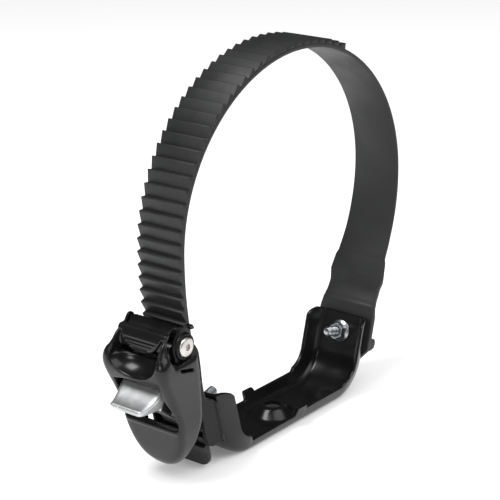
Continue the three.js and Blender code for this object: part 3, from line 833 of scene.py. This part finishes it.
ear_side = softened(
    [(foot_x, 13.5), (head_x, 36), (-69.5, 39.4), (-73.2, 40.4), (-75.2, 46), (-77.6, 64.5),
     (-79.4, 68.6), (-82.4, 71.8)] + arc_points(guide, 2.7, 15, 165, 8)
    + arc_points(hinge, 7.2, 150, 215, 5) + [(-93.4, 52)] + arc_points(catch_pin, 4.2, 180, 275, 5)
    + [(-79, 33), (-76.2, 30.4), (-75.4, 26), (-73.8, 19), (-71.4, 14.2)])
frame_step = 0.4
(grid_x, grid_y, grid_z), corner = lattice((-98.5, -19, 12), (-57, 19, 83), frame_step)
ear_mid, ear_half = (ear_in + ear_out) / 2, (ear_out - ear_in) / 2
ears = both(to_outline(grid_x, grid_z, ear_side), np.abs(np.abs(grid_y) - ear_mid) - ear_half, 0.4)
plate = both(to_outline(grid_x, grid_z, plate_side), np.abs(grid_y) - ear_out, 0.4)
hub_radius, hub_mid, hub_half = 6.3, 16.4, 1.1
seat_radius, seat_from = 5.0, 16.5
hub = both(to_rod(grid_x, grid_z, hinge, hub_radius), np.abs(np.abs(grid_y) - hub_mid) - hub_half, 0.5)
hub = cut_away(hub, both(to_rod(grid_x, grid_z, hinge, seat_radius), seat_from - np.abs(grid_y)), 0.2)
frame_field = either(either(ears, plate, 1.2), hub, 0.3)
for centre, radius in ((hinge, bolt_bore), (catch_pin, catch_bore)):
    frame_field = cut_away(frame_field, to_rod(grid_x, grid_z, centre, radius), 0.2)
lean_x, lean_z = math.sin(arm_lean), math.cos(arm_lean)
off_bolt = (grid_x - arm_face(-1, bolt_z)) * lean_x + (grid_z - bolt_z) * lean_z
frame_field = cut_away(frame_field, np.hypot(grid_y, off_bolt) - bolt_bore, 0.2)
buckle = skin("buckle_frame_stamping", frame_field, corner, frame_step)
# Painted shade: a darker, less glossy copy of the saddle's black powder coat, so the frame looks shaded
# between the lever and the arm.
frame_coat_painted_shade = coated("frame_powder_coat_painted_shade", (0.004, 0.004, 0.004), 0.34, 0.14)
buckle.data.materials.append(frame_coat_painted_shade)
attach(buckle, "base")
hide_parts("buckle_frame")

guard_line = arc_points(hinge, 8.7, 84, 150, 14) + arc_points(hinge, 7.4, 150, 84, 14)
guard_step = 0.3
(grid_x, grid_y, grid_z), corner = lattice((-99, -17.2, 73), (-87, 17.2, 83), guard_step)
guard = both(to_outline(grid_x, grid_z, guard_line), np.abs(grid_y) - 12.6, 0.5)
bar = both(to_rod(grid_x, grid_z, guide, 1.8), np.abs(grid_y) - 14.3, 0.4)
ends = both(to_rod(grid_x, grid_z, guide, 1.0), np.abs(grid_y) - ear_out + 0.3, 0.2)
guide_bar = skin("guide_bar_plate", either(either(guard, bar, 0.6), ends), corner, guard_step)
# The guide takes the same darker coat, painted shade.
guide_bar.data.materials.append(frame_coat_painted_shade)
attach(guide_bar, "base")
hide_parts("guide_bar")

# ---- bolts, nuts and hinge screws ----
# Zinc plated M5 hardware: domed bolts behind each arm, serrated flange nuts inside it, and
# a button-head screw with a hex socket in each end of the hinge.

zinc = metal("bright_zinc", (0.50, 0.52, 0.54), 0.3, 0.3, (1, 1, 12))
# Painted shade: a darker copy of the zinc for the washer and the pins that sit inside the buckle, standing in
# for the shadow on them.
painted_shade_zinc = metal("zinc_painted_shade", (0.30, 0.31, 0.32), 0.4, 0.3, (1, 1, 12))


def hexagon(u, v, across):
    """Distance to a hexagon of that size across its flats."""
    flats = [np.abs(u * math.cos(a) + v * math.sin(a)) for a in (0, math.pi / 3, 2 * math.pi / 3)]
    return np.maximum(np.maximum(flats[0], flats[1]), flats[2]) - across / 2


def small_part(name, field_of, reach, low, high, step, stand):
    """Skins a small shape made about +Z from zero, then stands it in its place."""
    (u, v, w), corner = lattice((-reach, -reach, low), (reach, reach, high), step)
    piece = skin(name, field_of(u, v, w), corner, step)
    shift = Matrix.Translation(place(0, 0, 0))
    piece.data.transform(stand @ shift.inverted())
    return piece


def nut_field(u, v, w):
    """A flange nut, its flange standing on zero."""
    r = np.hypot(u, v)
    prism = both(both(hexagon(u, v, 8.0), w - 5, 0.1), r + (w - 5) * 1.2 - 4.25, 0.1)
    flange = both(both(r - 5.9, -w, 0.2), (r - 4.6) * 0.5 + (w - 1.25) * 0.9, 0.3)
    body = both(either(prism, flange, 0.4), -w)
    return cut_away(body, either(r - 2.55, r - 3.0 + (5 - w) * 0.9), 0.1)


def screw_field(u, v, w):
    """A button head with a hex socket, its underside on zero."""
    r = np.hypot(u, v)
    dome = np.sqrt(r * r + (w + 22) ** 2) - 24.5
    head = both(both(dome, r - 4.7, 0.9), -w, 0.1)
    socket = both(hexagon(u, v, 3.0), 1.0 - w, 0.1)
    return either(cut_away(head, socket, 0.15), both(r - 2.4, np.abs(w + 1) - 1.4))


def coil_tree():
    """A helix of wire or thread: a profile carried along a spiral."""
    tree = bpy.data.node_groups.new("Coil", "GeometryNodeTree")
    face = tree.interface
    face.new_socket("Geometry", in_out="INPUT", socket_type="NodeSocketGeometry")
    for label in ("Turns", "Radius", "Height", "Wire"):
        face.new_socket(label, in_out="INPUT", socket_type="NodeSocketFloat")
    face.new_socket("Sides", in_out="INPUT", socket_type="NodeSocketInt")
    face.new_socket("Finish", in_out="INPUT", socket_type="NodeSocketMaterial")
    face.new_socket("Geometry", in_out="OUTPUT", socket_type="NodeSocketGeometry")
    add, link = tree.nodes.new, tree.links.new
    given, made = add("NodeGroupInput"), add("NodeGroupOutput")
    spiral = add("GeometryNodeCurveSpiral")
    spiral.inputs["Resolution"].default_value = 40
    section = add("GeometryNodeCurvePrimitiveCircle")
    carry = add("GeometryNodeCurveToMesh")
    carry.inputs["Fill Caps"].default_value = True
    real = add("GeometryNodeRealizeInstances")
    paint = add("GeometryNodeSetMaterial")
    link(given.outputs["Turns"], spiral.inputs["Rotations"])
    link(given.outputs["Radius"], spiral.inputs["Start Radius"])
    link(given.outputs["Radius"], spiral.inputs["End Radius"])
    link(given.outputs["Height"], spiral.inputs["Height"])
    link(given.outputs["Sides"], section.inputs["Resolution"])
    link(given.outputs["Wire"], section.inputs["Radius"])
    link(spiral.outputs["Curve"], carry.inputs["Curve"])
    link(section.outputs["Curve"], carry.inputs["Profile Curve"])
    link(carry.outputs["Mesh"], real.inputs["Geometry"])
    link(real.outputs["Geometry"], paint.inputs["Geometry"])
    link(given.outputs["Finish"], paint.inputs["Material"])
    link(paint.outputs["Geometry"], made.inputs["Geometry"])
    return tree


coil_maker = coil_tree()


def coil(name, radius, height, turns, wire, sides, finish):
    """A helix about +Z from zero, in millimetres."""
    seed = bpy.data.objects.new(name, bpy.data.meshes.new(name))
    bpy.context.scene.collection.objects.link(seed)
    make = seed.modifiers.new("Coil", "NODES")
    make.node_group = coil_maker
    set_inputs(make, Turns=float(turns), Radius=radius * MM, Height=height * MM, Wire=wire * MM, Sides=sides,
               Finish=finish)
    return baked(seed, name)


def finish_part(piece, node, body, slot, *materials):
    """Gives a piece its materials and says which solid it stands for."""
    piece.data.materials.clear()
    for material in materials:
        piece.data.materials.append(material)
    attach(piece, body)
    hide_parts(node)


def bolt(name, behind, shown):
    """A domed bolt along +Z from behind an arm, threaded from there to its tip."""
    start, tip = -behind - 0.3, 15.5
    shank = turned(name, [
        (0, start - 2.5), (2.2, start - 2.4), (3.6, start - 1.9), (4.5, start - 1.0), (4.72, start - 0.4),
        (4.6, start), (2.2, start), (2.2, tip - 0.7), (1.9, tip - 0.2), (1.5, tip), (0, tip)], 40)
    shank.data.materials.append(shown)
    thread = coil(name + "_thread", 2.17, 8.2, 8.2 / 0.8, 0.34, 4, shown)
    thread.data.transform(Matrix.Translation((0, 0, (tip - 0.6 - 8.2) * MM)))
    smooth(shank, 35)
    join(shank, thread)
    return shank


washer_depth = 4.6
for node, side, behind, shown in (("strap", 1, washer_depth, zinc), ("buckle", -1, 2.1, zinc)):
    stand = seated(arm_face(side, bolt_z), bolt_z, into_loop(side))
    piece = bolt(node + "_bolt_steel", behind, shown)
    piece.data.transform(stand)
    finish_part(piece, node + "_bolt", "base", "zinc", shown)
    raise_it = Matrix.Translation((0, 0, 2.3 * MM))
    piece = small_part(node + "_nut_steel", nut_field, 6.6, -0.5, 5.8, 0.16, stand @ raise_it)
    finish_part(piece, node + "_nut", "base", "zinc", shown)

for node, side in (("hinge_screw_near", -1), ("hinge_screw_far", 1)):
    stand = seated(*hinge, (0, side, 0), side * (ear_out + 0.3))
    piece = small_part(node + "_steel", screw_field, 5.2, -2.9, 2.8, 0.13, stand)
    finish_part(piece, node, "base", "zinc", metal(node + "_zinc", (0.62, 0.60, 0.57), 0.36, 0.3, (1, 1, 9)))

# The washer takes the darker zinc, painted shade.
washer = turned("strap_washer_steel", [(bolt_bore, 0.1), (2.9, 0), (4.85, 0), (5, 0.12), (5, 0.88),
                                       (4.85, 1), (2.9, 1), (bolt_bore, 0.9)], 48)
lower_it = Matrix.Translation((0, 0, -washer_depth * MM))
washer.data.transform(seated(arm_face(1, bolt_z), bolt_z, into_loop(1)) @ lower_it)
smooth(washer, 35)
finish_part(washer, "strap_washer", "base", "zinc", painted_shade_zinc)

# ---- pins, hinge tube and pawl ----
# Turned steel across the buckle: the hinge's spacer tube, the release lever's pin and the
# drive pawl's pin, with the stamped pawl that pushes the strap along.

steel = metal("plain_steel", (0.23, 0.235, 0.24), 0.38, 0.3, (9, 1, 9))


def cross_pin(name, centre, radius, half, hole=0.0):
    """A pin or tube across the buckle with chamfered ends."""
    c = 0.25
    if hole:
        profile = [(hole, -half + c), (hole + c, -half), (radius - c, -half), (radius, -half + c),
                   (radius, half - c), (radius - c, half), (hole + c, half), (hole, half - c)]
    else:
        profile = [(0, -half), (radius - c, -half), (radius, -half + c), (radius, half - c),
                   (radius - c, half), (0, half)]
    piece = turned(name, profile, 40)
    piece.data.transform(seated(*centre, (0, 1, 0)))
    smooth(piece, 35)
    return piece


finish_part(cross_pin("hinge_tube_steel", hinge, 3.4, 14.3, 2.7), "hinge_tube", "base", "zinc", steel)
# The release pin and the drive pawl's pin take the darker zinc, painted shade.
finish_part(cross_pin("release_pin_steel", catch_pin, 1.6, 16.2), "release_pin", "base", "zinc", painted_shade_zinc)
pawl_pin = cross_pin("drive_pawl_pin_steel", drive_pin, 1.5, 14.3)
finish_part(pawl_pin, "drive_pawl_pin", "lever", "zinc", painted_shade_zinc)

pawl_step = 0.3
(grid_x, grid_y, grid_z), corner = lattice((-95, -12.4, 57), (-80.5, 12.4, 66.5), pawl_step)
pawl_side = [(-92, 59.9), (-89, 58.4), (-83, 58.6), (-81.9, 59.4), (-82.4, 60.6), (-88.6, 64)]
pawl_field = both(either(to_rod(grid_x, grid_z, drive_pin, 2.8), to_outline(grid_x, grid_z, pawl_side), 0.6),
                  np.abs(grid_y) - 11.4, 0.3)
pawl_field = cut_away(pawl_field, to_rod(grid_x, grid_z, drive_pin, drive_bore), 0.1)
pawl = skin("drive_pawl_stamping", pawl_field, corner, pawl_step)
finish_part(pawl, "drive_pawl", "drive_pawl", "spring_steel", steel)

# ---- springs ----
# Two small torsion springs of plain steel wire, one at the end of each pawl's pin.

wire_steel = metal("spring_wire", (0.30, 0.305, 0.31), 0.32, 0.2, (1, 1, 1))
release_spring = coil("release_spring_wire", 2.65, 1.0, 1.9, 0.25, 10, wire_steel)
release_spring.data.transform(seated(*catch_pin, (0, 1, 0), 12.95))
smooth(release_spring, 60)
finish_part(release_spring, "release_spring", "base", "spring_steel", wire_steel)
pawl_spring = coil("drive_pawl_spring_wire", 2.35, 0.5, 1.5, 0.2, 10, wire_steel)
pawl_spring.data.transform(seated(*drive_pin, (0, 1, 0), -12.4))
smooth(pawl_spring, 60)
finish_part(pawl_spring, "drive_pawl_spring", "lever", "spring_steel", wire_steel)

# ---- stage ----
# A white sweep under soft boxes, bright enough that only the contact shadow shows.

reach = 3000
floor = new_mesh("floor", [(-reach, -reach, 0), (reach, -reach, 0), (reach, reach, 0), (-reach, reach, 0)],
                 [[0, 1, 2, 3]])
paper = bpy.data.materials.new("paper")
paper.use_nodes = True
for setting, value in (("Base Color", (0.86, 0.86, 0.86, 1)), ("Emission Color", (1, 1, 1, 1)),
                       ("Emission Strength", 0.14), ("Roughness", 0.9)):
    paper.node_tree.nodes["Principled BSDF"].inputs[setting].default_value = value
floor.data.materials.append(paper)
world = bpy.data.worlds.new("studio")
world.use_nodes = True
world.node_tree.nodes["Background"].inputs["Color"].default_value = (1, 1, 1, 1)
sky = world.node_tree
# The world is full white to the camera, 0.72 as bright to matt surfaces and almost dark in
# reflections.
ray = sky.nodes.new("ShaderNodeLightPath")
by_surface = sky.nodes.new("ShaderNodeMapRange")
by_surface.inputs["To Min"].default_value = 0.72
by_surface.inputs["To Max"].default_value = 0.05
by_ray = sky.nodes.new("ShaderNodeMath")
by_ray.operation = "MAXIMUM"
sky.links.new(ray.outputs["Is Glossy Ray"], by_surface.inputs["Value"])
sky.links.new(ray.outputs["Is Camera Ray"], by_ray.inputs[0])
sky.links.new(by_surface.outputs["Result"], by_ray.inputs[1])
sky.links.new(by_ray.outputs["Value"], sky.nodes["Background"].inputs["Strength"])
bpy.context.scene.world = world
bpy.context.scene.view_settings.view_transform = "Standard"


def softbox(name, at, towards, size, power):
    """A square area light."""
    lamp = bpy.data.lights.new(name, "AREA")
    lamp.size = size
    lamp.energy = power
    piece = bpy.data.objects.new(name, lamp)
    piece.location = at
    piece.rotation_euler = (towards - at).to_track_quat("-Z", "Y").to_euler()
    bpy.context.scene.collection.objects.link(piece)


centre = place(0, 0, 80)
softbox("key", centre + Vector((0.1, -0.9, 1.2)), centre, 1.2, 12)
softbox("top", centre + Vector((-0.5, 0.2, 0.95)), centre, 0.5, 9)
softbox("left", centre + Vector((-1.2, -0.2, 0.45)), centre, 0.3, 2.5)
